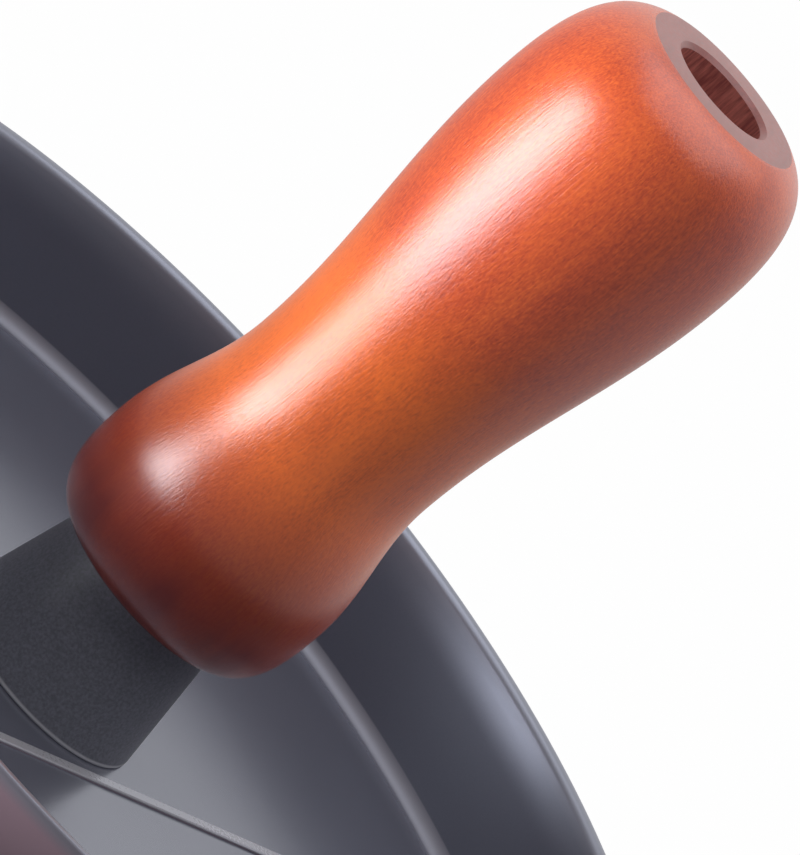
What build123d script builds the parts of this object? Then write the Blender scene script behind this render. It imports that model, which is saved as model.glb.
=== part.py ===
from build123d import *
from math import radians, sqrt, tan
import os

# A round burger press: a mould that stands on the table, and a plunger that drops into it.
# The plunger is a dish on a conical post, with a turned wooden handle screwed to the post.
# Lengths are in millimetres. The origin is where the press axis meets the table, +Z is up.

# Patty and mould
patty_radius = 56.5
patty_height = 12.0
floor_thickness = 2.6
mould_wall = 2.4
ledge_width = 4.3
guide_height = 9.0
foot_ring_inset = 8.9
foot_ring_width = 4.0
foot_ring_height = 2.0
mould_corner = 2.5
mould_rim_round = 1.1
mould_draft = 0.4

# Plunger dish
plunger_draft = 0.4
plate_thickness = 2.6
dish_depth = 14.0
dish_wall = 1.5
dish_corner = 1.4
lip_height = 3.0
lip_flare = 0.7
lip_sweep = 6.0
rim_inner_round = 0.9
rim_outer_round = 0.4
plunger_gap = 0.4

# Bars that print grill lines into both faces of the patty
bar_pitch = 12.2
bar_width = 2.0
bar_height = 1.0
bar_taper = 20.0
bar_margin = 3.0
bar_angle = 54.3

# Fine straight bead on the floor of the dish, above the first bar beside the post
bead_width = 1.1
bead_height = 0.3
bead_end_gap = 3.2

# Post
post_foot_radius = 10.3
post_top_radius = 8.1
post_height = 12.3
post_foot_edge = 0.2
spigot_edge = 0.6
spigot_radius = 6.0
spigot_height = 4.0

# Handle, with heights from its lower end
handle_length = 65.0
handle_end_radius = 9.0
handle_end_slope = 0.2
bulge_radius = 12.6
bulge_at = 8.0
waist_radius = 10.3
waist_at = 22.5
belly_radius = 13.3
belly_at = 53.0
handle_face_radius = 8.2
handle_face_slope = 0.35
handle_hole_radius = 4.8
handle_hole_depth = 30.0
hole_bevel = 0.4
screw_bevel = 0.5

# Fasteners: two screws of one thread, a flat washer and a split spring washer
screw_radius = 2.5
thread_clearance = 0.1
shank_clearance = 0.25
fit_clearance = 0.15
handle_screw_engagement = 6.8
cap_head_radius = 4.25
cap_head_height = 5.0
cap_socket_flats = 4.0
cap_socket_depth = 2.6
plate_screw_length = 8.0
sunk_head_radius = 4.6
sunk_head_angle = 90.0
sunk_socket_flats = 3.0
sunk_socket_depth = 1.4
washer_radius = 4.5
washer_thickness = 1.0
spring_washer_radius = 4.3
spring_washer_thickness = 1.2
spring_washer_split = 1.2

# Heights that follow from the sizes above
mould_floor = foot_ring_height + floor_thickness
ledge = mould_floor + patty_height
mould_rim = ledge + guide_height
dish_floor = ledge + plate_thickness
dish_rim = dish_floor + dish_depth
lip_root = dish_rim - lip_height
post_shoulder = dish_floor + post_height
post_top = post_shoulder + spigot_height
handle_top = post_shoulder + handle_length
hole_floor = handle_top - handle_hole_depth
cap_seat = hole_floor + washer_thickness + spring_washer_thickness
handle_screw_tip = post_top - handle_screw_engagement
sunk_head_height = (sunk_head_radius - screw_radius) / tan(radians(sunk_head_angle / 2))

# Radii that follow from the sizes above
guide_radius = patty_radius + ledge_width
plunger_radius = guide_radius - plunger_gap
mould_outer = guide_radius + mould_wall
foot_ring_radius = patty_radius + mould_wall - foot_ring_inset
lip_root_radius = plunger_radius - lip_flare
dish_outer = lip_root_radius - plunger_draft
dish_inner = dish_outer - dish_wall
thread_bore = screw_radius + thread_clearance
shank_bore = screw_radius + shank_clearance

# How near two sizes are to count as one when an edge or a corner is picked
hair = 0.01

os.makedirs("parts", exist_ok=True)


def bar_offsets(reach):
    """Distances from the axis of the bars that fit in a circle of this radius."""
    each_side = int((reach - bar_width) // bar_pitch)
    return [bar_pitch * place for place in range(-each_side, each_side + 1)]


def beside_axis(offset):
    """Place of a bar's middle, at right angles to the bars and this far from the axis."""
    return Vector(0, -offset).rotate(Axis.Z, bar_angle)


def hexagon_radius(flats):
    """Corner radius of a hexagon with this distance across its flats."""
    return flats / sqrt(3)


def corners_at(section, height):
    """Corners of a half section that lie at this height."""
    return [corner for corner in section.vertices() if abs(corner.Y - height) < hair]


def nearest_at(section, height):
    """Corner of a half section at this height that lies nearest to the axis."""
    return min(corners_at(section, height), key=lambda corner: corner.X)


def farthest_at(section, height):
    """Corner of a half section at this height that lies farthest from the axis."""
    return max(corners_at(section, height), key=lambda corner: corner.X)


def circles_of(piece, radius):
    """Round edges of a piece that have this radius, from the lowest to the highest."""
    round_edges = piece.edges().filter_by(GeomType.CIRCLE)
    return round_edges.filter_by(lambda edge: abs(edge.radius - radius) < hair).sort_by(Axis.Z)


# Mould: a round cup on a foot ring, with a ledge where the plunger stops
with BuildPart() as mould:
    with BuildSketch(Plane.XZ) as mould_section:
        with BuildLine():
            Polyline(
                (0, foot_ring_height),
                (foot_ring_radius - foot_ring_width, foot_ring_height),
                (foot_ring_radius - foot_ring_width, 0),
                (foot_ring_radius, 0),
                (foot_ring_radius, foot_ring_height),
                (patty_radius + mould_wall, foot_ring_height),
                (patty_radius + mould_wall, ledge - mould_wall),
                (mould_outer, ledge - mould_wall),
                (mould_outer + mould_draft, mould_rim),
                (guide_radius + mould_draft, mould_rim),
                (guide_radius, ledge),
                (patty_radius, ledge),
                (patty_radius - mould_draft, mould_floor),
                (0, mould_floor),
                close=True,
            )
        make_face()
        fillet(farthest_at(mould_section, foot_ring_height), mould_wall)
        fillet(farthest_at(mould_section, mould_floor), mould_corner)
        fillet(mould_section.vertices().group_by(Axis.Y)[-1], mould_rim_round)
    revolve(axis=Axis.Z)
    with BuildSketch(Plane.XY.offset(mould_floor)):
        for offset in bar_offsets(patty_radius - bar_margin):
            with Locations(beside_axis(offset)):
                Rectangle(2 * patty_radius, bar_width, rotation=bar_angle)
        Circle(patty_radius - bar_margin, mode=Mode.INTERSECT)
    extrude(amount=bar_height, taper=bar_taper)
mould.part.label = "mould"
export_step(mould.part, "parts/mould.step")

# Plunger dish: the pressing plate, its wall with a flared lip, and the fine bead
with BuildPart() as dish:
    with BuildSketch(Plane.XZ) as dish_section:
        with BuildLine():
            Polyline(
                (0, ledge),
                (dish_outer, ledge),
                (lip_root_radius, lip_root),
                (plunger_radius, dish_rim),
                (plunger_radius - dish_wall, dish_rim),
                (lip_root_radius - dish_wall, lip_root),
                (dish_inner, dish_floor),
                (0, dish_floor),
                close=True,
            )
        make_face()
        fillet(farthest_at(dish_section, ledge), dish_corner)
        fillet(farthest_at(dish_section, dish_floor), dish_corner)
        fillet(corners_at(dish_section, lip_root), lip_sweep)
        fillet(nearest_at(dish_section, dish_rim), rim_inner_round)
        fillet(farthest_at(dish_section, dish_rim), rim_outer_round)
    revolve(axis=Axis.Z)
    bead_length = 2 * sqrt(dish_inner ** 2 - bar_pitch ** 2) - 2 * bead_end_gap
    with BuildSketch(Plane.XY.offset(dish_floor)):
        with Locations(beside_axis(bar_pitch)):
            SlotOverall(bead_length, bead_width, rotation=bar_angle)
    extrude(amount=bead_height, taper=bar_taper)
    with BuildSketch(Plane.XY.offset(ledge)):
        for offset in bar_offsets(patty_radius - bar_margin):
            with Locations(beside_axis(offset)):
                Rectangle(2 * patty_radius, bar_width, rotation=bar_angle)
        Circle(patty_radius - bar_margin, mode=Mode.INTERSECT)
        Circle(sunk_head_radius + bar_margin, mode=Mode.SUBTRACT)
    extrude(amount=-bar_height, taper=bar_taper)
    with Locations(Plane.XY.offset(ledge).rotated((180, 0, 0))):
        CounterSinkHole(
            screw_radius + fit_clearance,
            sunk_head_radius + fit_clearance,
            counter_sink_angle=sunk_head_angle,
        )
dish.part.label = "plunger_dish"
export_step(dish.part, "parts/plunger_dish.step")

# Post: a cone that stands on the dish and ends in a spigot, tapped through for both screws
with BuildPart() as post:
    with BuildSketch(Plane.XZ) as post_section:
        with BuildLine():
            Polyline(
                (thread_bore, dish_floor),
                (post_foot_radius, dish_floor),
                (post_top_radius, post_shoulder),
                (spigot_radius, post_shoulder),
                (spigot_radius, post_top),
                (thread_bore, post_top),
                close=True,
            )
        make_face()
        fillet(farthest_at(post_section, dish_floor), post_foot_edge)
        chamfer(farthest_at(post_section, post_top), spigot_edge)
    revolve(axis=Axis.Z)
post.part.label = "post"
export_step(post.part, "parts/post.step")

# Handle: turned wood with a bulge, a waist and a belly, bored from both ends
with BuildPart() as handle:
    with BuildSketch(Plane.XZ):
        with BuildLine():
            end_edge = (handle_end_radius, post_shoulder)
            bulge = (bulge_radius, post_shoulder + bulge_at)
            waist = (waist_radius, post_shoulder + waist_at)
            belly = (belly_radius, post_shoulder + belly_at)
            face_edge = (handle_face_radius, handle_top)
            Line((0, post_shoulder), end_edge)
            Spline(end_edge, bulge, tangents=[(1, handle_end_slope), (0, 1)])
            Spline(bulge, waist, tangents=[(0, 1), (0, 1)])
            Spline(waist, belly, tangents=[(0, 1), (0, 1)])
            Spline(belly, face_edge, tangents=[(0, 1), (-1, handle_face_slope)])
            Line(face_edge, (0, handle_top))
            Line((0, handle_top), (0, post_shoulder))
        make_face()
    revolve(axis=Axis.Z)
    with Locations(Plane.XY.offset(handle_top)):
        CounterBoreHole(shank_bore, handle_hole_radius, handle_hole_depth)
    with Locations(Plane.XY.offset(post_shoulder).rotated((180, 0, 0))):
        Hole(spigot_radius + fit_clearance, spigot_height + fit_clearance)
    chamfer(circles_of(handle, handle_hole_radius)[-1], hole_bevel)
handle.part.label = "handle"
export_step(handle.part, "parts/handle.step")

# Flat washer on the floor of the handle's hole
with BuildPart() as washer:
    with BuildSketch(Plane.XY.offset(hole_floor)):
        Circle(washer_radius)
        Circle(shank_bore, mode=Mode.SUBTRACT)
    extrude(amount=washer_thickness)
washer.part.label = "washer"
export_step(washer.part, "parts/washer.step")

# Split spring washer between the flat washer and the screw's head
with BuildPart() as spring_washer:
    with BuildSketch(Plane.XY.offset(hole_floor + washer_thickness)):
        Circle(spring_washer_radius)
        Circle(shank_bore, mode=Mode.SUBTRACT)
        with Locations((spring_washer_radius / 2, 0)):
            Rectangle(spring_washer_radius, spring_washer_split, mode=Mode.SUBTRACT)
    extrude(amount=spring_washer_thickness)
spring_washer.part.label = "spring_washer"
export_step(spring_washer.part, "parts/spring_washer.step")

# Handle screw: a cap screw that clamps the handle down on the post
with BuildPart() as handle_screw:
    with BuildSketch(Plane.XY.offset(cap_seat)):
        Circle(cap_head_radius)
    extrude(amount=cap_head_height)
    chamfer(circles_of(handle_screw, cap_head_radius)[-1], screw_bevel)
    with BuildSketch(Plane.XY.offset(cap_seat)):
        Circle(screw_radius)
    extrude(amount=handle_screw_tip - cap_seat)
    chamfer(circles_of(handle_screw, screw_radius)[0], screw_bevel)
    with BuildSketch(Plane.XY.offset(cap_seat + cap_head_height)):
        RegularPolygon(hexagon_radius(cap_socket_flats), 6)
    extrude(amount=-cap_socket_depth, mode=Mode.SUBTRACT)
handle_screw.part.label = "handle_screw"
export_step(handle_screw.part, "parts/handle_screw.step")

# Plate screw: a countersunk screw, flush with the pressing face, that holds the dish to the post
with BuildPart() as plate_screw:
    with BuildSketch(Plane.XZ):
        with BuildLine():
            Polyline(
                (0, ledge),
                (sunk_head_radius, ledge),
                (screw_radius, ledge + sunk_head_height),
                (screw_radius, ledge + plate_screw_length),
                (0, ledge + plate_screw_length),
                close=True,
            )
        make_face()
    revolve(axis=Axis.Z)
    chamfer(circles_of(plate_screw, screw_radius)[-1], screw_bevel)
    with BuildSketch(Plane.XY.offset(ledge)):
        RegularPolygon(hexagon_radius(sunk_socket_flats), 6)
    extrude(amount=sunk_socket_depth, mode=Mode.SUBTRACT)
plate_screw.part.label = "plate_screw"
export_step(plate_screw.part, "parts/plate_screw.step")
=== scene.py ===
"""A burger press: a round mould, and a plunger dish that drops into it.

The dish carries a conical post, and a turned wooden handle is screwed down on the post.
Lengths are in metres, +Z is up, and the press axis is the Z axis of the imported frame.
"""

import logging
from dataclasses import dataclass
from enum import Enum
from math import cos, degrees, pi, radians, sin, sqrt, tan, tau

import bpy
from mathutils import Matrix, Vector


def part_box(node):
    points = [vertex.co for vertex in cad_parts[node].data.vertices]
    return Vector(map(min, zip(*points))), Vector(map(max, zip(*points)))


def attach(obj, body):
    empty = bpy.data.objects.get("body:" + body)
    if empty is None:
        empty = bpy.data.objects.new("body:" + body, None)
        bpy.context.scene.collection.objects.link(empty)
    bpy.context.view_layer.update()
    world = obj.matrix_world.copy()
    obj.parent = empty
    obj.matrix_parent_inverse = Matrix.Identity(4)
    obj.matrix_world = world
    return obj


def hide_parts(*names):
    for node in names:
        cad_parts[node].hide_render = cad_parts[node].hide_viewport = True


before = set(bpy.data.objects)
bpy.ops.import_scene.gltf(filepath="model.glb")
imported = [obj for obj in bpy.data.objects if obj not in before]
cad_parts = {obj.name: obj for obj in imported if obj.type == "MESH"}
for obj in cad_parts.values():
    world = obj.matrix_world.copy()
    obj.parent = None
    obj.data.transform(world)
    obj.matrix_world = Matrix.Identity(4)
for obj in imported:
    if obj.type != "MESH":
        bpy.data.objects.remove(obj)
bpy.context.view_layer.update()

MM = 0.001
TURN_STEPS = 192
ARC_STEPS = 7
MERGE_DISTANCE = 0.002 * MM
SMOOTH_ANGLE = radians(32)

# How far up or down the normal of a face points that lies about level, or quite level
ABOUT_LEVEL = 0.5
QUITE_LEVEL = 0.999

# Values that a noise mostly has, and those between which its specks fade in
NOISE_VALUES = (0.3, 0.7)
SPECK_VALUES = (0.35, 0.7)

# Places of the two sources and of the result among a Mix node's sockets
MIX_COLOURS = (6, 7)
MIX_COLOUR_RESULT = 2
MIX_VALUES = (2, 3)

Place = tuple[float, float]
Point = tuple[float, float, float]
Span = tuple[float, float]
Grain = tuple[float, float, float]
Colour = tuple[float, float, float]
Piece = bpy.types.Object
Socket = bpy.types.NodeSocket

log = logging.getLogger("burger_press")


class Slot(Enum):
    """Material slots named in the record."""

    COATED_METAL = "coated_metal"
    COATED_POST = "coated_post"
    WOOD = "wood"


class Body(Enum):
    """Bodies that the pieces ride on."""

    MOULD = "mould"
    PLUNGER = "plunger"


class Surface(Enum):
    """Surfaces of the handle, with the number of the material that each takes."""

    TURNED = 0
    CUT = 1
    BORED = 2


class Face(Enum):
    """Shapes of a lamp's bright face."""

    OBLONG = "RECTANGLE"
    OVAL = "ELLIPSE"


# Outlines


@dataclass(frozen=True)
class Corner:
    """Corner of an outline, with the radius that rounds it."""

    reach: float
    height: float
    rounding: float = 0.0

    @property
    def place(self) -> Vector:
        """Place of the corner before it is rounded."""
        return Vector((self.reach, self.height))


def rounded(corners: list[Corner], steps: int = ARC_STEPS) -> list[Place]:
    """Closed outline through corners, each rounded by an arc.

    Args:
        corners: Corners in order round the section.
        steps: Chords in each arc.

    Returns:
        Places as (distance from the axis, height).
    """
    outline: list[Place] = []
    for index, corner in enumerate(corners):
        if corner.rounding == 0.0:
            outline.append(tuple(corner.place))
            continue
        to_before = (corners[index - 1].place - corner.place).normalized()
        to_after = (corners[(index + 1) % len(corners)].place - corner.place).normalized()
        half = to_before.angle(to_after) / 2
        centre = corner.place + (to_before + to_after).normalized() * corner.rounding / sin(half)
        run = corner.rounding / tan(half)
        first = corner.place + to_before * run - centre
        last = corner.place + to_after * run - centre
        sweep = pi - 2 * half
        for step in range(steps + 1):
            done = sweep * step / steps
            along = (first * sin(sweep - done) + last * sin(done)) / sin(sweep)
            outline.append(tuple(centre + along))
    return outline


def stretch(
    start: Place, end: Place, leaving: Place, arriving: Place, steps: int
) -> list[Place]:
    """Smooth curve between two places of an outline, without its start.

    Args:
        start: Place where the curve starts.
        end: Place where it ends.
        leaving: Direction and pull at the start, as a vector.
        arriving: Direction and pull at the end, as a vector.
        steps: Chords in the curve.

    Returns:
        Places from the first step to the end.
    """
    places: list[Place] = []
    for step in range(1, steps + 1):
        t = step / steps
        # Cubic shares of the start, the end and the two pulls
        by_start = 2 * t**3 - 3 * t**2 + 1
        shares = (by_start, 1 - by_start, t**3 - 2 * t**2 + t, t**3 - t**2)
        parts = zip(start, end, leaving, arriving)
        places.append(tuple(sum(s * v for s, v in zip(shares, part)) for part in parts))
    return places


# Making meshes


def deselect_all() -> None:
    """Leaves nothing selected, so that the next operator works on its own piece."""
    if bpy.context.object and bpy.context.object.mode != "OBJECT":
        bpy.ops.object.mode_set(mode="OBJECT")
    bpy.ops.object.select_all(action="DESELECT")


def make_active(piece: Piece) -> None:
    """Selects one piece alone and makes it the active one.

    Args:
        piece: Piece that the next operator works on.
    """
    deselect_all()
    piece.select_set(True)
    bpy.context.view_layer.objects.active = piece


def turned(name: str, outline: list[Place], steps: int = TURN_STEPS) -> Piece:
    """Spins a closed outline about the press axis, as on a lathe.

    Args:
        name: Name of the new piece.
        outline: Places of the half section, in order.
        steps: Steps of the full turn.

    Returns:
        The turned piece, with its place in its mesh.
    """
    deselect_all()
    first = outline[0]
    bpy.ops.mesh.primitive_plane_add(size=MM, location=(first[0], 0, first[1]))
    piece = bpy.context.active_object
    piece.name = name
    piece.data.name = name
    bpy.ops.object.transform_apply(location=True, rotation=True, scale=True)
    bpy.ops.object.mode_set(mode="EDIT")
    bpy.ops.mesh.select_mode(type="VERT")
    bpy.ops.mesh.select_all(action="SELECT")
    bpy.ops.mesh.merge(type="CENTER")
    last = first
    for place in outline[1:] + [first]:
        step = (place[0] - last[0], 0, place[1] - last[1])
        bpy.ops.mesh.extrude_vertices_move(TRANSFORM_OT_translate={"value": step})
        last = place
    bpy.ops.mesh.select_all(action="SELECT")
    bpy.ops.mesh.spin(steps=steps, angle=tau, center=(0, 0, 0), axis=(0, 0, 1))
    close_seams()
    bpy.ops.object.mode_set(mode="OBJECT")
    return piece


def close_seams() -> None:
    """Merges doubled points of the mesh in edit mode and turns its faces outwards."""
    bpy.ops.mesh.select_all(action="SELECT")
    bpy.ops.mesh.remove_doubles(threshold=MERGE_DISTANCE)
    bpy.ops.mesh.dissolve_degenerate(threshold=MERGE_DISTANCE)
    bpy.ops.mesh.delete_loose()
    bpy.ops.mesh.select_all(action="SELECT")
    bpy.ops.mesh.normals_make_consistent(inside=False)


def apply_modifier(piece: Piece, kind: str, **settings: object) -> None:
    """Adds one modifier to a piece and applies it.

    Args:
        piece: Piece that gets the modifier.
        kind: Blender's name of the modifier.
        settings: Values of the modifier.
    """
    make_active(piece)
    bpy.ops.object.modifier_add(type=kind)
    modifier = piece.modifiers[-1]
    for name, value in settings.items():
        setattr(modifier, name, value)
    bpy.ops.object.modifier_apply(modifier=modifier.name)


def add_shape(piece: Piece, shape: Piece) -> None:
    """Makes a closed shape part of a piece, and removes the loose shape.

    Args:
        piece: Piece that is changed.
        shape: Closed shape that is added.
    """
    apply_modifier(piece, "BOOLEAN", object=shape, operation="UNION", solver="EXACT")
    bpy.data.objects.remove(shape)


def smooth(piece: Piece) -> None:
    """Shades a piece smooth up to its edges, with its flat faces left flat.

    Args:
        piece: Piece that is shaded.
    """
    make_active(piece)
    bpy.ops.object.shade_smooth_by_angle(angle=SMOOTH_ANGLE)
    apply_modifier(piece, "WEIGHTED_NORMAL", keep_sharp=True)


@dataclass(frozen=True)
class PressingBars:
    """Parallel bars on a pressing face, cut off by a circle round the axis."""

    pitch: float = 12.2 * MM
    width: float = 2.0 * MM
    height: float = 1.0 * MM
    taper: float = radians(20)
    root: float = 0.4 * MM
    turn: float = radians(54.3)

    def beside_axis(self, offset: float) -> Vector:
        """Middle of a bar that lies this far from the axis."""
        return Vector((offset * sin(self.turn), -offset * cos(self.turn), 0))

    def make(self, reach: float, level: float, up: bool, clear: float = 0.0) -> Piece:
        """Makes the bars as one shape that starts a little inside the plate.

        Args:
            reach: Radius of the circle that ends the bars.
            level: Height of the pressing face.
            up: Whether the bars stand up from the face or hang from it.
            clear: Radius that stays free of bars round the axis.

        Returns:
            All bars joined in one object.
        """
        count = int((reach - self.width) // self.pitch)
        pieces: list[Piece] = []
        for place in range(-count, count + 1):
            offset = place * self.pitch
            outer = sqrt(reach**2 - offset**2)
            inner = sqrt(max(clear**2 - offset**2, 0.0))
            spans = [(-outer, -inner), (inner, outer)] if inner else [(-outer, outer)]
            for start, end in spans:
                pieces.append(self.bar(offset, start, end, level, up))
        make_active(pieces[0])
        for piece in pieces:
            piece.select_set(True)
        bpy.ops.object.join()
        return bpy.context.active_object

    def bar(self, offset: float, start: float, end: float, level: float, up: bool) -> Piece:
        """Makes one bar with sloping sides and a softened top.

        Args:
            offset: Distance of the bar from the axis.
            start: Where the bar starts along its run.
            end: Where it ends.
            level: Height of the pressing face.
            up: Whether the bar stands up from the face.

        Returns:
            The bar.
        """
        deselect_all()
        along = Vector((cos(self.turn), sin(self.turn), 0))
        away = 1 if up else -1
        middle = self.beside_axis(offset) + along * (start + end) / 2
        middle.z = level + away * (self.height - self.root) / 2
        bpy.ops.mesh.primitive_cube_add(size=1, location=middle, rotation=(0, 0, self.turn))
        piece = bpy.context.active_object
        piece.scale = (end - start, self.width, self.height + self.root)
        bpy.ops.object.transform_apply(location=True, rotation=True, scale=True)
        bpy.ops.object.mode_set(mode="EDIT")
        bpy.ops.mesh.select_all(action="DESELECT")
        bpy.ops.object.mode_set(mode="OBJECT")
        for face in piece.data.polygons:
            face.select = face.normal.z * away > ABOUT_LEVEL
        bpy.ops.object.mode_set(mode="EDIT")
        bpy.ops.mesh.select_mode(type="FACE")
        draw_in = self.height * tan(self.taper)
        bpy.ops.mesh.bevel(offset=draw_in, segments=1, affect="EDGES")
        bpy.ops.object.mode_set(mode="OBJECT")
        return piece


# Finishes


class Bench:
    """Node tree of one material, with short calls that add and join its nodes."""

    def __init__(self, name: str) -> None:
        """Makes a material that holds a surface shader and nothing else.

        Args:
            name: Name of the material.
        """
        self.material = bpy.data.materials.new(name)
        self.material.use_nodes = True
        self.tree = self.material.node_tree
        self.surface = self.tree.nodes["Principled BSDF"]
        coordinates = self.tree.nodes.new("ShaderNodeTexCoord")
        self.place = coordinates.outputs["Object"]
        self.facing = coordinates.outputs["Normal"]

    def set(self, **values: object) -> None:
        """Sets sockets of the surface shader, with _ for a blank in their names."""
        for name, value in values.items():
            self.surface.inputs[name.replace("_", " ")].default_value = value

    def drive(self, socket: str, source: Socket) -> None:
        """Lets a node's result drive one socket of the surface shader."""
        self.tree.links.new(source, self.surface.inputs[socket])

    def node(
        self, kind: str, inputs: dict[str | int, object] | None = None, **settings: object
    ) -> bpy.types.Node:
        """Adds a node.

        Args:
            kind: Blender's name of the node, without its prefix.
            inputs: Values or sources of its sockets.
            settings: Values of the node itself.

        Returns:
            The new node.
        """
        made = self.tree.nodes.new("ShaderNode" + kind)
        for name, value in settings.items():
            setattr(made, name, value)
        for name, value in (inputs or {}).items():
            if isinstance(value, Socket):
                self.tree.links.new(value, made.inputs[name])
            else:
                made.inputs[name].default_value = value
        return made

    def noise(
        self, scale: Grain, detail: float = 2.0, rough: float = 0.5, turn: float = 0.0
    ) -> Socket:
        """Noise whose grains have their own size along each axis.

        Args:
            scale: Grains per metre along X, Y and Z.
            detail: Octaves of the noise.
            rough: Share that each octave keeps.
            turn: Turn of the grain about the press axis.

        Returns:
            The noise from 0 to 1.
        """
        mapping = {"Vector": self.place, "Scale": scale, "Rotation": (0, 0, turn)}
        mapped = self.node("Mapping", mapping).outputs["Vector"]
        values = {"Vector": mapped, "Scale": 1.0, "Detail": detail, "Roughness": rough}
        return self.node("TexNoise", values).outputs["Fac"]

    def spread(
        self, source: Socket, low: float, high: float, to_low: float, to_high: float
    ) -> Socket:
        """Stretches one range of values onto another, held at both ends.

        Args:
            source: Values to stretch.
            low: Value that becomes to_low.
            high: Value that becomes to_high.
            to_low: Result at the low end.
            to_high: Result at the high end.

        Returns:
            The stretched values.
        """
        span = {"From Min": low, "From Max": high, "To Min": to_low, "To Max": to_high}
        return self.node("MapRange", {"Value": source, **span}).outputs["Result"]

    def vary(self, noise: Socket, to_low: float, to_high: float) -> Socket:
        """Stretches the values that a noise mostly has onto another range."""
        return self.spread(noise, *NOISE_VALUES, to_low, to_high)

    def sum(self, *shares: tuple[Socket, float]) -> Socket:
        """Adds several values, each with its own share.

        Args:
            shares: Values and the shares that they get.

        Returns:
            The weighted sum.
        """
        total: Socket | None = None
        for source, share in shares:
            part = self.node("Math", {0: source, 1: share}, operation="MULTIPLY").outputs[0]
            if total is None:
                total = part
            else:
                total = self.node("Math", {0: total, 1: part}, operation="ADD").outputs[0]
        return total

    def times(self, first: Socket, second: Socket) -> Socket:
        """Product of two values."""
        return self.node("Math", {0: first, 1: second}, operation="MULTIPLY").outputs[0]

    def ramp(self, source: Socket, stops: list[tuple[float, Colour]]) -> Socket:
        """Colours that follow a value.

        Args:
            source: Value that picks the colour.
            stops: Values and the colours that they get.

        Returns:
            The colour.
        """
        made = self.node("ValToRGB", {"Fac": source})
        marks = made.color_ramp.elements
        while len(marks) < len(stops):
            marks.new(1.0)
        for mark, (value, colour) in zip(marks, stops):
            mark.position = value
            mark.color = (*colour, 1.0)
        return made.outputs["Color"]

    def speckled(self, noise: Socket, colour: Colour, gain: float) -> Socket:
        """Colour that a noise makes lighter in specks.

        Args:
            noise: Value that is high at the specks.
            colour: Colour between the specks.
            gain: How many times lighter the specks are.

        Returns:
            The colour.
        """
        lighter = tuple(gain * part for part in colour)
        return self.ramp(noise, list(zip(SPECK_VALUES, (colour, lighter))))

    def blend(self, share: Socket, first: Socket | Colour, second: Socket | Colour) -> Socket:
        """Mix of two colours.

        Args:
            share: Share of the second colour, from 0 to 1.
            first: Colour at a share of 0.
            second: Colour at a share of 1.

        Returns:
            The mixed colour.
        """
        mix = self.node("Mix", data_type="RGBA")
        self.tree.links.new(share, mix.inputs["Factor"])
        for socket, value in zip(MIX_COLOURS, (first, second)):
            if isinstance(value, Socket):
                self.tree.links.new(value, mix.inputs[socket])
            else:
                mix.inputs[socket].default_value = (*value, 1.0)
        return mix.outputs[MIX_COLOUR_RESULT]

    def height(self) -> Socket:
        """Height of a point above the table."""
        return self.node("SeparateXYZ", {0: self.place}).outputs["Z"]

    def from_axis(self) -> Socket:
        """Level vector from the press axis to a point."""
        flat = {0: self.place, 1: (1, 1, 0)}
        return self.node("VectorMath", flat, operation="MULTIPLY").outputs["Vector"]

    def radius(self) -> Socket:
        """Distance of a point from the press axis."""
        away = {0: self.from_axis()}
        return self.node("VectorMath", away, operation="LENGTH").outputs["Value"]

    def outwards(self) -> Socket:
        """How far a surface faces away from the press axis.

        Returns:
            1 where it faces away, -1 where it faces the axis.
        """
        away = self.node("VectorMath", {0: self.from_axis()}, operation="NORMALIZE")
        both = {0: self.facing, 1: away.outputs["Vector"]}
        return self.node("VectorMath", both, operation="DOT_PRODUCT").outputs["Value"]

    def zone(self, source: Socket, low: float, high: float, soft: float) -> Socket:
        """Marks the surface where a value lies in a range.

        Args:
            source: Value that is tested.
            low: Start of the range.
            high: End of the range.
            soft: Width of the soft edge outside each end.

        Returns:
            1 inside the range and 0 outside it.
        """
        above = self.spread(source, low - soft, low, 0.0, 1.0)
        below = self.spread(source, high, high + soft, 1.0, 0.0)
        return self.times(above, below)

    def bump(self, source: Socket, depth: float, onto: str = "Normal") -> None:
        """Raises the surface by a value, for the base or the coat.

        Args:
            source: Height from 0 to 1.
            depth: Height in metres of the value 1.
            onto: Socket of the surface shader that gets the bumps.
        """
        made = self.node("Bump", {"Height": source, "Distance": depth, "Strength": 1.0})
        self.drive(onto, made.outputs["Normal"])


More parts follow.
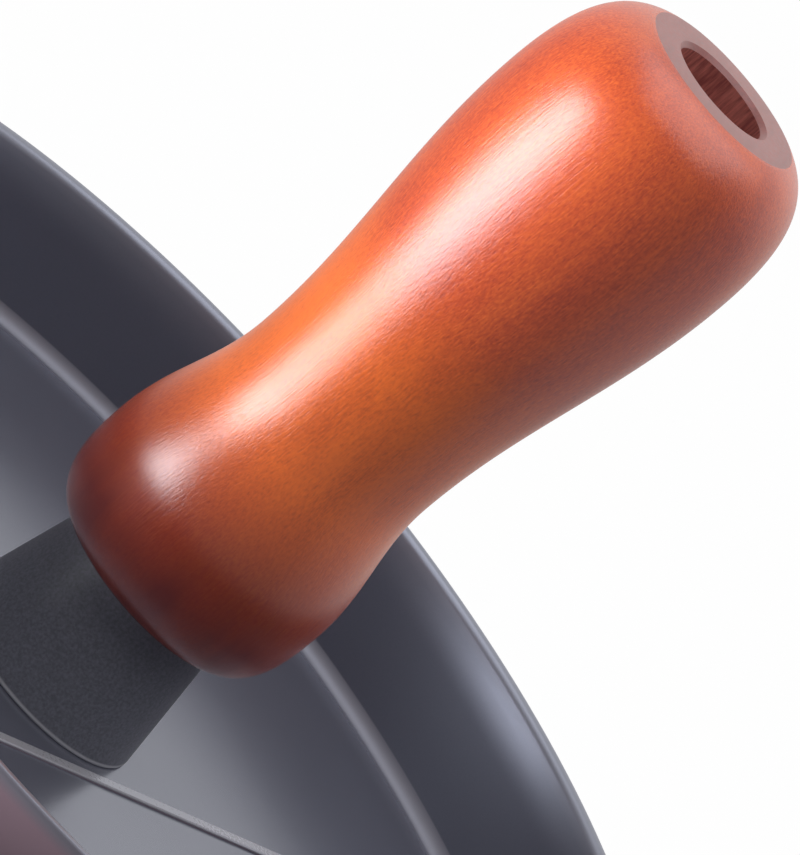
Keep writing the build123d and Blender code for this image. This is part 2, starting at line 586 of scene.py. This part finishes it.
@dataclass(frozen=True)
class LacqueredWood:
    """Close-grained wood, stained reddish orange under a clear lacquer, with painted shade at its
    foot and painted light at its waist.
    """

    deep: Colour = (0.42, 0.036, 0.012)
    stain: Colour = (0.67, 0.088, 0.019)
    glow: Colour = (0.86, 0.160, 0.027)
    tones: tuple[float, float, float] = (0.37, 0.50, 0.63)
    tone_shares: tuple[float, float, float, float] = (0.26, 0.22, 0.22, 0.30)
    # Painted shade: towards the lower end of the handle the colour turns dark red, a little
    # unevenly
    painted_foot_shade: Colour = (0.215, 0.023, 0.019)
    painted_shade_heights: Span = (36.0 * MM, 50.0 * MM)
    painted_shade_share: float = 0.87
    painted_shade_swing: Span = (0.8, 1.2)
    # Painted light: a lighter orange band round the waist, strongest on the lighter grain
    painted_waist_light: Colour = (1.0, 0.205, 0.028)
    painted_light_heights: Span = (50.0 * MM, 62.0 * MM)
    painted_light_fade: float = 9.0 * MM
    painted_light_tones: Span = (0.40, 0.58)
    painted_light_shares: Span = (0.50, 1.0)
    fibre: Grain = (9400, 9400, 1300)
    cell: Grain = (3900, 3900, 2500)
    streak: Grain = (6200, 6200, 260)
    figure: Grain = (190, 190, 42)
    shine: Colour = (1.0, 0.42, 0.13)
    depth_glow: float = 0.36
    wood_roughness: Span = (0.64, 0.74)
    wood_depth: float = 0.05 * MM
    lacquer_roughness: float = 0.25
    lacquer_index: float = 1.70
    lacquer_depth: float = 0.036 * MM

    def make(self) -> bpy.types.Material:
        """Makes the lacquered finish of the turned surface.

        Returns:
            The material.
        """
        bench = Bench("lacquered_wood")
        fibre = bench.noise(self.fibre, detail=3, rough=0.55)
        cell = bench.noise(self.cell)
        streak = bench.noise(self.streak, detail=3, rough=0.6)
        figure = bench.noise(self.figure, detail=3)
        tone = bench.sum(*zip((fibre, cell, streak, figure), self.tone_shares))
        stained = bench.ramp(tone, list(zip(self.tones, (self.deep, self.stain, self.glow))))
        # Painted shade, darker towards the lower end of the handle
        foot_shade_fade = bench.spread(bench.height(), *self.painted_shade_heights, self.painted_shade_share, 0.0)
        painted_shade_mask = bench.times(foot_shade_fade, bench.vary(figure, *self.painted_shade_swing))
        # Painted light, a lighter orange band round the waist
        painted_light_band = bench.zone(bench.height(), *self.painted_light_heights, self.painted_light_fade)
        painted_light_share = bench.times(painted_light_band, bench.spread(tone, *self.painted_light_tones, *self.painted_light_shares))
        lit_wood = bench.blend(painted_light_share, stained, self.painted_waist_light)
        bench.drive("Base Color", bench.blend(painted_shade_mask, lit_wood, self.painted_foot_shade))
        bench.drive("Roughness", bench.vary(fibre, *self.wood_roughness))
        bench.set(Metallic=self.depth_glow, Specular_Tint=(*self.shine, 1.0))
        bench.set(Coat_Weight=1.0, Coat_IOR=self.lacquer_index)
        bench.set(Coat_Roughness=self.lacquer_roughness)
        bench.bump(bench.sum((fibre, 0.5), (streak, 0.5)), self.wood_depth)
        bench.bump(bench.sum((fibre, 0.35), (streak, 0.65)), self.lacquer_depth, "Coat Normal")
        return bench.material


@dataclass(frozen=True)
class EndGrain:
    """Cut end of the same wood, pinker and duller because it drinks the lacquer."""

    pale: Colour = (0.38, 0.088, 0.070)
    dark: Colour = (0.25, 0.050, 0.038)
    tones: Span = (0.36, 0.60)
    pores: Grain = (2600, 2600, 2600)
    rings: Grain = (700, 130, 700)
    rings_turn: float = radians(25)
    roughness: Span = (0.38, 0.55)
    depth: float = 0.04 * MM
    lacquer_share: float = 0.6
    lacquer_index: float = 1.6
    lacquer_roughness: float = 0.35

    def make(self) -> bpy.types.Material:
        """Makes the finish of the flat end of the handle.

        Returns:
            The material.
        """
        bench = Bench("end_grain")
        pores = bench.noise(self.pores, detail=3, rough=0.6)
        rings = bench.noise(self.rings, detail=3, rough=0.6, turn=self.rings_turn)
        tone = bench.sum((pores, 0.5), (rings, 0.5))
        bench.drive("Base Color", bench.ramp(tone, list(zip(self.tones, (self.dark, self.pale)))))
        bench.drive("Roughness", bench.vary(pores, *self.roughness))
        bench.set(Coat_Weight=self.lacquer_share, Coat_IOR=self.lacquer_index)
        bench.set(Coat_Roughness=self.lacquer_roughness)
        bench.bump(tone, self.depth)
        return bench.material


@dataclass(frozen=True)
class RawBore:
    """Bare wood inside a bored hole, with fibres that run along the hole."""

    shade: Colour = (0.42, 0.115, 0.098)
    fibre_colour: Colour = (0.84, 0.300, 0.240)
    tones: Span = (0.36, 0.64)
    fibres: Grain = (2400, 2400, 260)
    roughness: Span = (0.65, 0.85)
    depth: float = 0.12 * MM

    def make(self) -> bpy.types.Material:
        """Makes the finish of the walls of the handle's holes.

        Returns:
            The material.
        """
        bench = Bench("raw_bore")
        fibres = bench.noise(self.fibres, detail=4, rough=0.65)
        stops = list(zip(self.tones, (self.shade, self.fibre_colour)))
        bench.drive("Base Color", bench.ramp(fibres, stops))
        bench.drive("Roughness", bench.vary(fibres, *self.roughness))
        bench.bump(fibres, self.depth)
        return bench.material


@dataclass(frozen=True)
class DarkCoating:
    """Dark coating on spun metal, glossy on its floor, with a painted highlight on its rim, in its
    inner corner and on its bead, and a paler maroon outside that is partly painted reflection.
    """

    name: str
    floor_level: float
    rim_level: float
    corner_radius: float = 0.0
    # Painted highlight: a paler band in the inner corner between floor and wall
    corner_heights: Span = (0.1 * MM, 1.35 * MM)
    corner_soft: float = 0.12 * MM
    corner_fade: float = 0.2 * MM
    corner_facing: Span = (-0.02, 0.02)
    corner_roughness: float = 0.26
    # Painted highlight: the bead is painted pale
    bead_heights: Span = (0.12 * MM, 0.36 * MM)
    bead_soft: float = 0.08 * MM
    bead_end: Span = (1.2 * MM, 1.0 * MM)
    turn_up: Span = (0.1 * MM, 0.8 * MM)
    # Painted highlight: the coating turns paler just below the rim
    rim_highlight_depths: Span = (1.5 * MM, 0.45 * MM)
    rim_highlight_shares: Span = (0.75, 1.0)
    colour: Colour = (0.080, 0.081, 0.101)
    # Outer faces: a maroon-grey outer colour, made paler as a painted reflection
    outside: Colour = (0.260, 0.175, 0.203)
    painted_rim_highlight: Colour = (0.165, 0.165, 0.190)
    painted_corner_highlight: Colour = (0.270, 0.266, 0.292)
    painted_line_highlight: Colour = (0.42, 0.41, 0.43)
    tint: Colour = (0.80, 0.84, 1.0)
    outer_tint: Colour = (0.157, 0.165, 0.196)
    outer_facing: Span = (0.25, 0.55)
    index: float = 2.48
    floor_roughness: float = 0.23
    wall_roughness: float = 0.36
    mark_roughness: Span = (-0.03, 0.05)
    cloud: Grain = (60, 60, 60)
    speck: Grain = (5000, 5000, 5000)
    speck_gain: float = 1.2
    turning: Grain = (9, 9, 2600)
    dimple: Grain = (900, 900, 900)
    depth: float = 0.006 * MM

    def make(self) -> bpy.types.Material:
        """Makes the coating.

        Returns:
            The material.
        """
        bench = Bench(self.name)
        height = bench.height()
        cloud = bench.noise(self.cloud, detail=3)
        speck = bench.noise(self.speck)
        turning = bench.noise(self.turning)
        dimple = bench.noise(self.dimple)
        grain = bench.sum((cloud, 0.5), (speck, 0.5))
        # Outer faces take the outer colour, which is partly a painted reflection
        outer = bench.spread(bench.outwards(), *self.outer_facing, 0.0, 1.0)
        base = bench.blend(outer, bench.speckled(grain, self.colour, self.speck_gain), self.outside)
        low, high = (self.floor_level + part for part in self.turn_up)
        wall = bench.spread(height, low, high, self.floor_roughness, self.wall_roughness)
        marks = bench.sum((cloud, 0.4), (turning, 0.3), (speck, 0.3))
        rough = bench.sum((wall, 1.0), (bench.vary(marks, *self.mark_roughness), 1.0))
        # Painted highlight in the inner corner and on the bead
        if self.corner_radius:
            corner = self.corner_zone(bench)
            base = bench.blend(corner, base, self.painted_corner_highlight)
            # Painted highlight on the bead
            base = bench.blend(self.bead_zone(bench), base, self.painted_line_highlight)
            rough = bench.sum((rough, 1.0), (corner, self.corner_roughness))
        # Painted highlight along the rim
        low, high = (self.rim_level - part for part in self.rim_highlight_depths)
        rim_highlight_band = bench.spread(height, low, high, 0.0, 1.0)
        rim = bench.times(rim_highlight_band, bench.vary(cloud, *self.rim_highlight_shares))
        bench.drive("Base Color", bench.blend(rim, base, self.painted_rim_highlight))
        bench.drive("Roughness", rough)
        bench.set(IOR=self.index, Specular_Tint=(*self.tint, 1.0))
        bench.drive("Specular Tint", bench.blend(outer, self.tint, self.outer_tint))
        bench.bump(bench.sum((speck, 0.4), (dimple, 0.6)), self.depth)
        return bench.material

    def corner_zone(self, bench: Bench) -> Socket:
        """Marks the inner corner, where the floor turns up into the wall and a paler highlight is
        painted.

        Args:
            bench: Node tree of the coating.

        Returns:
            1 in the corner and 0 elsewhere.
        """
        low, high = (self.floor_level + part for part in self.corner_heights)
        in_corner = bench.zone(bench.height(), low, high, self.corner_soft)
        start = self.corner_radius - self.corner_fade
        beyond = bench.spread(bench.radius(), start, self.corner_radius, 0.0, 1.0)
        inner = bench.spread(bench.outwards(), *self.corner_facing, 1.0, 0.0)
        return bench.times(bench.times(in_corner, beyond), inner)

    def bead_zone(self, bench: Bench) -> Socket:
        """Marks the bead, which is painted pale as its highlight.

        Args:
            bench: Node tree of the coating.

        Returns:
            1 on the bead and 0 elsewhere.
        """
        low, high = (self.floor_level + part for part in self.bead_heights)
        on_bead = bench.zone(bench.height(), low, high, self.bead_soft)
        start, end = (self.corner_radius - part for part in self.bead_end)
        return bench.times(on_bead, bench.spread(bench.radius(), start, end, 1.0, 0.0))


@dataclass(frozen=True)
class SatinCoating:
    """Fine-grained satin coating of the post, with a pale highlight line painted along its foot."""

    foot_level: float
    # Painted highlight: a pale line along the foot of the post
    foot_highlight_heights: Span = (0.34 * MM, 0.476 * MM)
    colour: Colour = (0.145, 0.146, 0.168)
    painted_line_highlight: Colour = (0.52, 0.51, 0.53)
    speck: Grain = (3600, 3600, 3600)
    speck_gain: float = 1.5
    cloud: Grain = (140, 140, 140)
    roughness: Span = (0.39, 0.50)
    shine: float = 0.4
    depth: float = 0.02 * MM

    def make(self) -> bpy.types.Material:
        """Makes the coating.

        Returns:
            The material.
        """
        bench = Bench("satin_coating")
        speck = bench.noise(self.speck, detail=3, rough=0.6)
        cloud = bench.noise(self.cloud, detail=3)
        low, high = (self.foot_level + part for part in self.foot_highlight_heights)
        # Painted highlight along the foot
        foot_highlight = bench.spread(bench.height(), low, high, 1.0, 0.0)
        base = bench.speckled(speck, self.colour, self.speck_gain)
        bench.drive("Base Color", bench.blend(foot_highlight, base, self.painted_line_highlight))
        bench.drive("Roughness", bench.vary(cloud, *self.roughness))
        bench.set(Specular_IOR_Level=self.shine)
        bench.bump(speck, self.depth)
        return bench.material


@dataclass(frozen=True)
class BrightSteel:
    """Plated steel of the screws and washers, with faint marks of turning."""

    colour: Colour = (0.58, 0.58, 0.60)
    darker: Colour = (0.464, 0.464, 0.480)
    marks: Grain = (500, 500, 9000)
    cloud: Grain = (900, 900, 900)
    roughness: Span = (0.20, 0.36)
    depth: float = 0.006 * MM

    def make(self) -> bpy.types.Material:
        """Makes the steel.

        Returns:
            The material.
        """
        bench = Bench("bright_steel")
        marks = bench.noise(self.marks)
        cloud = bench.noise(self.cloud, detail=3)
        stops = list(zip(NOISE_VALUES, (self.darker, self.colour)))
        bench.drive("Base Color", bench.ramp(cloud, stops))
        bench.drive("Roughness", bench.vary(marks, *self.roughness))
        bench.set(Metallic=1.0)
        bench.bump(marks, self.depth)
        return bench.material


def dress(piece: Piece, *finishes: bpy.types.Material) -> None:
    """Gives a piece its materials in place of any that it has.

    Args:
        piece: Piece that is dressed.
        finishes: Its materials, in the order of their numbers.
    """
    piece.data.materials.clear()
    for finish in finishes:
        piece.data.materials.append(finish)


def settle(piece: Piece, body: Body, nodes: tuple[str, ...]) -> None:
    """Puts a finished piece on its body in place of the nodes that it stands for.

    Args:
        piece: Finished piece, with its materials.
        body: Body that it rides on.
        nodes: Nodes that it replaces.
    """
    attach(piece, body.value)
    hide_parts(*nodes)
    log.info("%s rides on %s, %d faces", piece.name, body.value, len(piece.data.polygons))


# Sub-assemblies


@dataclass
class Mould:
    """Round cup on a foot ring, with a ledge where the plunger stops."""

    bars: PressingBars
    floor_thickness: float = 2.6 * MM
    wall: float = 2.4 * MM
    patty_radius: float = 56.5 * MM
    patty_height: float = 12.0 * MM
    ledge_width: float = 4.3 * MM
    draft: float = 0.4 * MM
    foot_radius: float = 50.0 * MM
    foot_width: float = 4.0 * MM
    foot_height: float = 2.0 * MM
    corner: float = 2.5 * MM
    rim_round: float = 1.1 * MM
    bar_margin: float = 3.0 * MM

    def build(self) -> Piece:
        """Builds the mould and dresses it.

        Returns:
            The mould.
        """
        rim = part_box("mould")[1].z
        floor = self.foot_height + self.floor_thickness
        ledge = floor + self.patty_height
        guide = self.patty_radius + self.ledge_width
        outline = rounded(
            [
                Corner(0, self.foot_height),
                Corner(self.foot_radius - self.foot_width, self.foot_height),
                Corner(self.foot_radius - self.foot_width, 0),
                Corner(self.foot_radius, 0),
                Corner(self.foot_radius, self.foot_height),
                Corner(self.patty_radius + self.wall, self.foot_height, self.wall),
                Corner(self.patty_radius + self.wall, ledge - self.wall),
                Corner(guide + self.wall, ledge - self.wall),
                Corner(guide + self.wall + self.draft, rim, self.rim_round),
                Corner(guide + self.draft, rim, self.rim_round),
                Corner(guide, ledge),
                Corner(self.patty_radius, ledge),
                Corner(self.patty_radius - self.draft, floor, self.corner),
                Corner(0, floor),
            ]
        )
        piece = turned("mould_cup", outline)
        add_shape(piece, self.bars.make(self.patty_radius - self.bar_margin, floor, up=True))
        smooth(piece)
        dress(piece, DarkCoating("mould_coating", floor_level=floor, rim_level=rim).make())
        settle(piece, Body.MOULD, ("mould",))
        return piece


@dataclass
class PlungerDish:
    """Pressing plate with its upright wall, flared lip and fine bead."""

    bars: PressingBars
    plate: float = 2.6 * MM
    wall: float = 1.5 * MM
    radius: float = 60.4 * MM
    draft: float = 0.4 * MM
    corner: float = 1.4 * MM
    lip_height: float = 3.0 * MM
    lip_flare: float = 0.7 * MM
    lip_sweep: float = 18.0 * MM
    inner_round: float = 0.9 * MM
    outer_round: float = 0.4 * MM
    bore: float = 2.65 * MM
    sink_radius: float = 4.75 * MM
    bead_width: float = 1.1 * MM
    bead_height: float = 0.3 * MM
    bead_gap: float = 3.2 * MM
    bar_reach: float = 53.5 * MM
    bar_clear: float = 7.6 * MM
    # Width of the floor's edge that takes the painted corner highlight
    painted_corner_width: float = 1.6 * MM

    def build(self) -> Piece:
        """Builds the dish and dresses it.

        Returns:
            The dish.
        """
        low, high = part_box("plunger_dish")
        ledge = low.z + self.bars.height
        floor = ledge + self.plate
        lip_root = high.z - self.lip_height
        lip_radius = self.radius - self.lip_flare
        outer = lip_radius - self.draft
        inner = outer - self.wall
        outline = rounded(
            [
                Corner(self.bore, floor),
                Corner(self.bore, ledge + self.sink_radius - self.bore),
                Corner(self.sink_radius, ledge),
                Corner(outer, ledge, self.corner),
                Corner(lip_radius, lip_root, self.lip_sweep),
                Corner(self.radius, high.z, self.outer_round),
                Corner(self.radius - self.wall, high.z, self.inner_round),
                Corner(lip_radius - self.wall, lip_root, self.lip_sweep),
                Corner(inner, floor, self.corner),
            ]
        )
        piece = turned("plunger_dish_shell", outline)
        add_shape(piece, self.bars.make(self.bar_reach, ledge, up=False, clear=self.bar_clear))
        add_shape(piece, self.bead(inner, floor))
        smooth(piece)
        coating = DarkCoating(
            "dish_coating",
            floor_level=floor,
            rim_level=high.z,
            corner_radius=inner - self.painted_corner_width,
        )
        dress(piece, coating.make())
        settle(piece, Body.PLUNGER, ("plunger_dish",))
        return piece

    def bead(self, inner: float, floor: float) -> Piece:
        """Makes the fine straight bead on the floor of the dish.

        Args:
            inner: Radius of the floor.
            floor: Height of the floor.

        Returns:
            The bead.
        """
        offset = self.bars.pitch
        reach = sqrt(inner**2 - offset**2) - self.bead_gap
        fine = PressingBars(width=self.bead_width, height=self.bead_height, turn=self.bars.turn)
        return fine.bar(offset, -reach, reach, floor, up=True)


@dataclass
class Post:
    """Cone that stands on the dish and ends in a spigot inside the handle."""

    foot_radius: float = 10.3 * MM
    top_radius: float = 8.1 * MM
    foot_edge: float = 0.2 * MM
    spigot_edge: float = 0.6 * MM
    spigot_radius: float = 6.0 * MM
    spigot_height: float = 4.0 * MM
    bore: float = 2.6 * MM

    def build(self) -> Piece:
        """Builds the post and dresses it.

        Returns:
            The post.
        """
        low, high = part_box("post")
        shoulder = high.z - self.spigot_height
        outline = rounded(
            [
                Corner(self.bore, low.z),
                Corner(self.foot_radius, low.z, self.foot_edge),
                Corner(self.top_radius, shoulder),
                Corner(self.spigot_radius, shoulder),
                Corner(self.spigot_radius, high.z - self.spigot_edge),
                Corner(self.spigot_radius - self.spigot_edge, high.z),
                Corner(self.bore, high.z),
            ]
        )
        piece = turned("post_cone", outline)
        smooth(piece)
        dress(piece, SatinCoating(foot_level=low.z).make())
        settle(piece, Body.PLUNGER, ("post",))
        return piece


@dataclass
class Handle:
    """Turned wooden handle with a bulge, a waist and a belly, bored from both ends."""

    wood: LacqueredWood
    end: EndGrain
    raw: RawBore
    end_radius: float = 9.0 * MM
    bulge_radius: float = 12.6 * MM
    bulge_at: float = 8.0 * MM
    waist_radius: float = 10.3 * MM
    waist_at: float = 22.5 * MM
    belly_radius: float = 13.3 * MM
    belly_at: float = 53.0 * MM
    face_radius: float = 8.2 * MM
    hole_radius: float = 4.8 * MM
    hole_depth: float = 30.0 * MM
    hole_bevel: float = 0.4 * MM
    shank_radius: float = 2.75 * MM
    spigot_radius: float = 6.15 * MM
    spigot_depth: float = 4.15 * MM
    leaves_end: Place = (9.99 * MM, 2.0 * MM)
    meets_bulge: Place = (0, 10.75 * MM)
    leaves_bulge: Place = (0, 16.96 * MM)
    meets_waist: Place = (0, 16.97 * MM)
    leaves_waist: Place = (0, 33.31 * MM)
    meets_belly: Place = (0, 33.36 * MM)
    leaves_belly: Place = (0, 19.26 * MM)
    meets_face: Place = (-11.72 * MM, 4.10 * MM)
    steps: int = 40

    def side(self, base: float, top: float) -> list[Place]:
        """Outline of the turned surface, from the lower end to the face.

        Args:
            base: Height of the lower end.
            top: Height of the face.

        Returns:
            Places from the lower end to the edge of the face.
        """
        start = (self.end_radius, base)
        bulge = (self.bulge_radius, base + self.bulge_at)
        waist = (self.waist_radius, base + self.waist_at)
        belly = (self.belly_radius, base + self.belly_at)
        face = (self.face_radius, top)
        places = [start]
        places += stretch(start, bulge, self.leaves_end, self.meets_bulge, self.steps)
        places += stretch(bulge, waist, self.leaves_bulge, self.meets_waist, self.steps)
        places += stretch(waist, belly, self.leaves_waist, self.meets_belly, self.steps)
        places += stretch(belly, face, self.leaves_belly, self.meets_face, self.steps)
        return places

    def build(self) -> Piece:
        """Builds the handle and dresses its turned side, its end and its holes.

        Returns:
            The handle.
        """
        low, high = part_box("handle")
        hole_floor = high.z - self.hole_depth
        outline = self.side(low.z, high.z) + [
            (self.hole_radius + self.hole_bevel, high.z),
            (self.hole_radius, high.z - self.hole_bevel),
            (self.hole_radius, hole_floor),
            (self.shank_radius, hole_floor),
            (self.shank_radius, low.z + self.spigot_depth),
            (self.spigot_radius, low.z + self.spigot_depth),
            (self.spigot_radius, low.z),
        ]
        piece = turned("handle_grip", outline)
        smooth(piece)
        dress(piece, self.wood.make(), self.end.make(), self.raw.make())
        for face in piece.data.polygons:
            face.material_index = self.surface_at(face, low.z).value
        settle(piece, Body.PLUNGER, ("handle",))
        return piece

    def surface_at(self, face: bpy.types.MeshPolygon, base: float) -> Surface:
        """Tells to which surface a face of the handle belongs.

        Args:
            face: Face of the handle.
            base: Height of the handle's lower end.

        Returns:
            The surface. The hole's bevel counts as cut.
        """
        reach = Vector((face.center.x, face.center.y)).length
        in_hole = reach <= self.hole_radius
        in_socket = reach <= self.spigot_radius and face.center.z < base + 2 * self.spigot_depth
        if in_hole or (in_socket and face.center.z > base):
            return Surface.BORED
        level = abs(face.normal.z) > QUITE_LEVEL
        on_bevel = reach < self.hole_radius + self.hole_bevel
        return Surface.CUT if level or on_bevel else Surface.TURNED


# Studio


@dataclass(frozen=True)
class Softbox:
    """Plain lamp with an even white face."""

    name: str
    place: Point
    aim: Point
    width: float
    height: float
    power: float
    face: Face = Face.OBLONG
    colour: Colour = (0.93, 0.945, 1.0)

    def build(self) -> None:
        """Hangs the lamp in its place, turned to what it lights."""
        deselect_all()
        bpy.ops.object.light_add(type="AREA", location=self.place)
        lamp = bpy.context.active_object
        lamp.name = self.name
        lamp.data.shape = self.face.value
        lamp.data.size = self.width
        lamp.data.size_y = self.height
        lamp.data.energy = self.power
        lamp.data.color = self.colour
        lamp.visible_camera = False
        towards = Vector(self.aim) - Vector(self.place)
        lamp.rotation_euler = towards.to_track_quat("-Z", "Y").to_euler()


@dataclass(frozen=True)
class Studio:
    """Pale floor, soft lamps and a pale world that is darker on the camera's side."""

    floor_size: float = 6.0
    floor_gap: float = 0.02 * MM
    floor_cuts: int = 4
    floor_white: Colour = (0.95, 0.95, 0.95)
    floor_shade: Colour = (0.12, 0.12, 0.12)
    floor_glow: float = 0.985
    floor_roughness: float = 0.9
    floor_shine: float = 0.1
    fill: float = 0.05
    dim_side: float = 0.33
    brighter_towards: Point = (0.1, 1.0, 1.2)
    brightens: Span = (0.3, 1.2)

    def build(self) -> None:
        """Builds the floor, the world and the lamps."""
        self.lay_floor()
        self.light_world()
        for lamp in self.lamps():
            lamp.build()

    def lamps(self) -> tuple[Softbox, ...]:
        """Plans the main lamp at the left, a weak cool one at the right and one above.

        Returns:
            The lamps.
        """
        side = Softbox(
            name="side_softbox",
            place=(-0.515, -0.310, -0.17),
            aim=(0, 0, 0),
            width=0.43,
            height=0.66,
            power=7.7,
            face=Face.OVAL,
        )
        fill = Softbox(
            name="fill_softbox",
            place=(0.760, 0.180, 0.0),
            aim=(0, 0, 0.03),
            width=0.9,
            height=0.9,
            power=0.5,
            colour=(0.72, 0.77, 1.0),
        )
        top = Softbox(
            name="top_softbox",
            place=(0.0, -0.10, 0.95),
            aim=(0, 0, 0.05),
            width=1.2,
            height=1.2,
            power=6.2,
        )
        return side, fill, top

    def lay_floor(self) -> None:
        """Lays the floor, which the camera sees as white with the object's shadow on it."""
        deselect_all()
        bpy.ops.mesh.primitive_plane_add(size=self.floor_size, location=(0, 0, -self.floor_gap))
        floor = bpy.context.active_object
        floor.name = "studio_floor"
        bpy.ops.object.mode_set(mode="EDIT")
        bpy.ops.mesh.subdivide(number_cuts=self.floor_cuts)
        bpy.ops.object.mode_set(mode="OBJECT")
        bench = Bench("studio_floor")
        bench.set(Roughness=self.floor_roughness, Specular_IOR_Level=self.floor_shine)
        seen = bench.node("LightPath").outputs["Is Camera Ray"]
        bench.drive("Base Color", bench.blend(seen, self.floor_shade, self.floor_white))
        glow = bench.node("Emission", {"Color": (1, 1, 1, 1), "Strength": 1.0}).outputs[0]
        share = bench.sum((seen, self.floor_glow))
        mix = bench.node("MixShader", {0: share, 1: bench.surface.outputs[0], 2: glow})
        bench.tree.links.new(mix.outputs[0], bench.tree.nodes["Material Output"].inputs["Surface"])
        dress(floor, bench.material)
        floor.visible_shadow = False
        floor.visible_glossy = False

    def light_world(self) -> None:
        """Sets a white background, and a soft light that falls off towards the camera."""
        world = bpy.data.worlds.new("studio_world")
        bpy.context.scene.world = world
        world.use_nodes = True
        tree = world.node_tree
        background = tree.nodes["Background"]
        background.inputs["Color"].default_value = (1, 1, 1, 1)
        rays = tree.nodes.new("ShaderNodeLightPath")
        direction = tree.nodes.new("ShaderNodeTexCoord")
        along = tree.nodes.new("ShaderNodeVectorMath")
        along.operation = "DOT_PRODUCT"
        along.inputs[1].default_value = self.brighter_towards
        fade = tree.nodes.new("ShaderNodeMapRange")
        dim = tree.nodes.new("ShaderNodeMix")
        pick = tree.nodes.new("ShaderNodeMix")
        tree.links.new(direction.outputs["Generated"], along.inputs[0])
        tree.links.new(along.outputs["Value"], fade.inputs["Value"])
        low, high = self.brightens
        values = {"From Min": low, "From Max": high, "To Min": self.dim_side, "To Max": 1.0}
        for name, value in values.items():
            fade.inputs[name].default_value = value
        first, second = MIX_VALUES
        tree.links.new(rays.outputs["Is Diffuse Ray"], dim.inputs["Factor"])
        tree.links.new(fade.outputs["Result"], dim.inputs[first])
        dim.inputs[second].default_value = self.fill
        seen = tree.nodes.new("ShaderNodeMath")
        seen.operation = "MAXIMUM"
        tree.links.new(rays.outputs["Is Camera Ray"], seen.inputs[0])
        tree.links.new(rays.outputs["Is Transmission Ray"], seen.inputs[1])
        tree.links.new(seen.outputs[0], pick.inputs["Factor"])
        tree.links.new(dim.outputs[0], pick.inputs[first])
        pick.inputs[second].default_value = 1.0
        tree.links.new(pick.outputs[0], background.inputs["Strength"])


@dataclass(frozen=True)
class PhotoCamera:
    """Camera at the photograph's angle, close to a long lens, turned on its side.

    Pitch, yaw and roll are in radians.
    """

    distance: float = 741.73 * MM
    height: float = 286.22 * MM
    pitch: float = 0.299869
    yaw: float = -0.0048607
    roll: float = 0.8633348
    focal_pixels: float = 9399.65
    picture_height: float = 855.0
    sensor: float = 36.0
    nearest: float = 0.01
    farthest: float = 20.0

    def build(self) -> None:
        """Sets up the camera and makes it the scene's own."""
        data = bpy.data.cameras.new("photo_camera")
        camera = bpy.data.objects.new("photo_camera", data)
        bpy.context.scene.collection.objects.link(camera)
        level = Matrix(((1, 0, 0), (0, 0, -1), (0, 1, 0)))
        yawed = Matrix.Rotation(self.yaw, 3, "Y") @ Matrix.Rotation(self.pitch, 3, "X")
        turn = Matrix.Rotation(self.roll, 3, "Z") @ yawed
        to_world = (turn @ level).transposed() @ Matrix.Diagonal((1, -1, -1))
        place = Vector((0, -self.distance, self.height))
        camera.matrix_world = Matrix.Translation(place) @ to_world.to_4x4()
        data.sensor_fit = "VERTICAL"
        data.sensor_height = self.sensor
        data.lens = self.focal_pixels / self.picture_height * self.sensor
        data.clip_start = self.nearest
        data.clip_end = self.farthest
        bpy.context.scene.camera = camera
        log.info("camera looks down at %.1f degrees", degrees(self.pitch))


def dress_fasteners(steel: BrightSteel) -> None:
    """Gives the screws and washers, which stay as they were packed, their steel.

    Args:
        steel: Finish of all of them.
    """
    material = steel.make()
    for name in ("handle_screw", "plate_screw", "washer", "spring_washer"):
        dress(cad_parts[name], material)
        log.info("%s keeps its packed shape", name)


def main() -> None:
    """Builds the press piece by piece, then the studio and the camera."""
    logging.basicConfig(level=logging.INFO, format="%(message)s")
    bpy.context.scene.view_settings.view_transform = "Standard"
    bars = PressingBars()
    Mould(bars).build()
    PlungerDish(bars).build()
    Post().build()
    Handle(LacqueredWood(), EndGrain(), RawBore()).build()
    dress_fasteners(BrightSteel())
    Studio().build()
    PhotoCamera().build()


if __name__ == "__main__":
    main()
